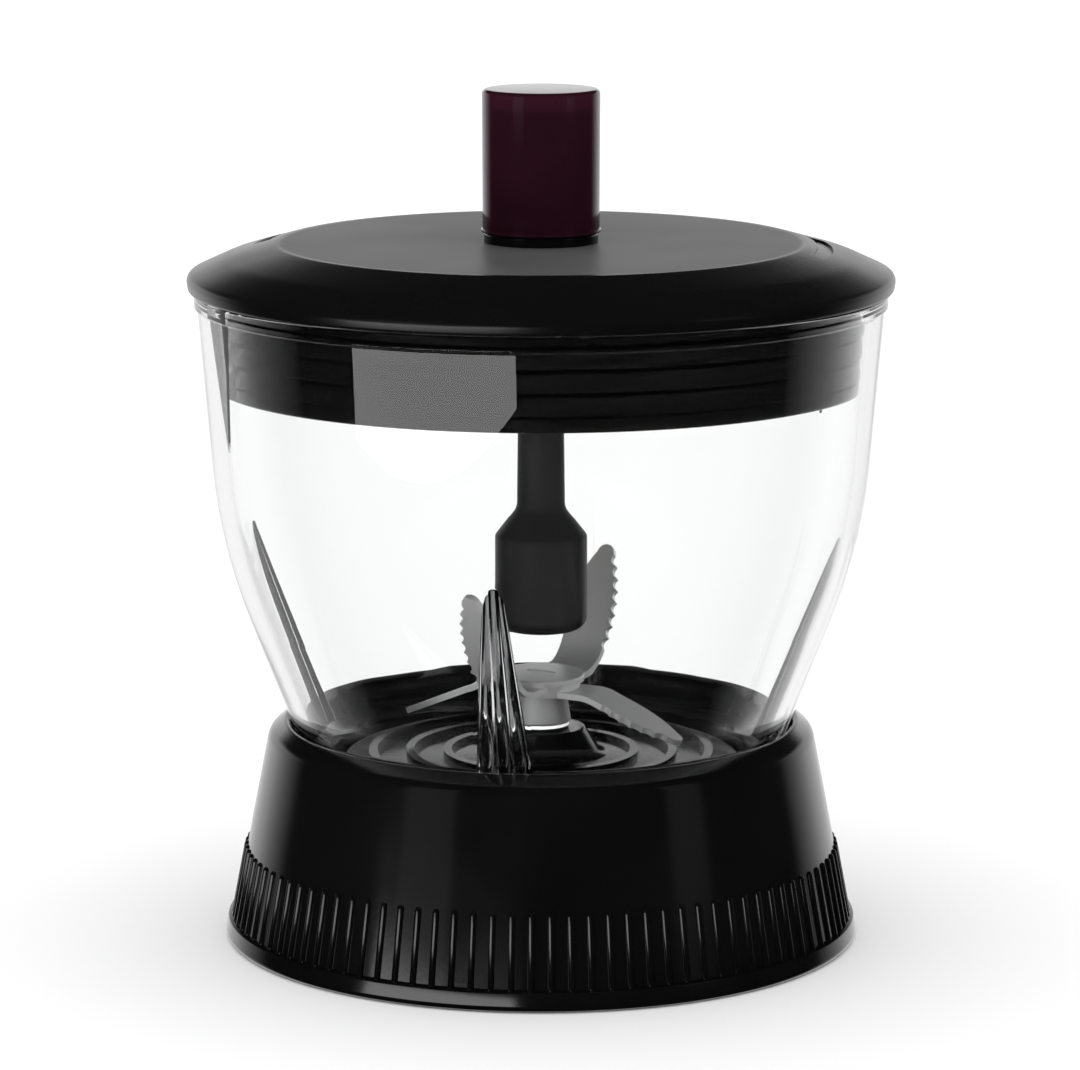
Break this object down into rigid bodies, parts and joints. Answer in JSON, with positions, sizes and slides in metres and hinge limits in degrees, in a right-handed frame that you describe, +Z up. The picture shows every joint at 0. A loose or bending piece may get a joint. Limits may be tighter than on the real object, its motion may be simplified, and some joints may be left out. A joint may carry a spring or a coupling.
{
  "type": "food processor chopper jar",
  "caption": "Clear chopper jar on a ribbed black twist collar, with serrated blades driven from below and a sealed black lid that carries a round pusher.",
  "frame": {"origin": "centre of the collar's foot, on the surface it stands on", "axes": "+Z up along the drive axis; -Y faces the viewer, +X to the right"},
  "size_m": [0.1302, 0.1302, 0.1579],
  "materials": {
    "black_gloss": "moulded gloss black",
    "black_satin": "satin black moulding",
    "seal_rubber": "smooth black silicone",
    "clear_glass": "clear thick moulded jar",
    "blade_steel": "ground stainless steel",
    "screw_steel": "plated steel",
    "bush_bronze": "sintered bronze",
    "coupler_plastic": "filled nylon",
    "maroon_clear": "dark translucent maroon"
  },
  "bodies": {
    "collar": {"collar_shell": "black_gloss", "socket_ring": "black_satin", "collar_screws": "screw_steel"},
    "carrier": {"blade_carrier": "black_satin", "jar_gasket": "seal_rubber", "upper_bush": "bush_bronze", "lower_bush": "bush_bronze", "shaft_seal": "seal_rubber"},
    "rotor": {"spindle": "blade_steel", "drive_coupler": "coupler_plastic", "coupler_screw": "screw_steel", "circlip": "screw_steel", "lower_washer": "screw_steel", "thrust_washer": "screw_steel", "blade_spacer": "blade_steel", "lower_blades": "blade_steel", "upper_blades": "blade_steel", "blade_cap": "blade_steel"},
    "jar": {"jar": "clear_glass"},
    "lid": {"lid_cover": "black_gloss", "lid_plug": "black_gloss", "lid_seal": "seal_rubber", "port_grommet": "seal_rubber"},
    "pusher": {"pusher_rod": "black_satin", "pusher_oring": "seal_rubber", "pusher_knob": "maroon_clear"}
  },
  "joints": [
    {"name": "unscrew", "type": "hinge", "parent": "collar", "child": "carrier", "pos_m": [0, 0, 0.02], "axis": [0, 0, 1], "range_deg": [0, 90]},
    {"name": "blade_spin", "type": "hinge", "parent": "carrier", "child": "rotor", "pos_m": [0, 0, 0.03], "axis": [0, 0, 1], "continuous": true},
    {"name": "jar_lift", "type": "slide", "parent": "carrier", "child": "jar", "axis": [0, 0, 1], "range_m": [0, 0.05]},
    {"name": "lid_lift", "type": "slide", "parent": "jar", "child": "lid", "axis": [0, 0, 1], "range_m": [0, 0.075]},
    {"name": "pusher_lift", "type": "slide", "parent": "lid", "child": "pusher", "axis": [0, 0, 1], "range_m": [0, 0.075]}
  ]
}
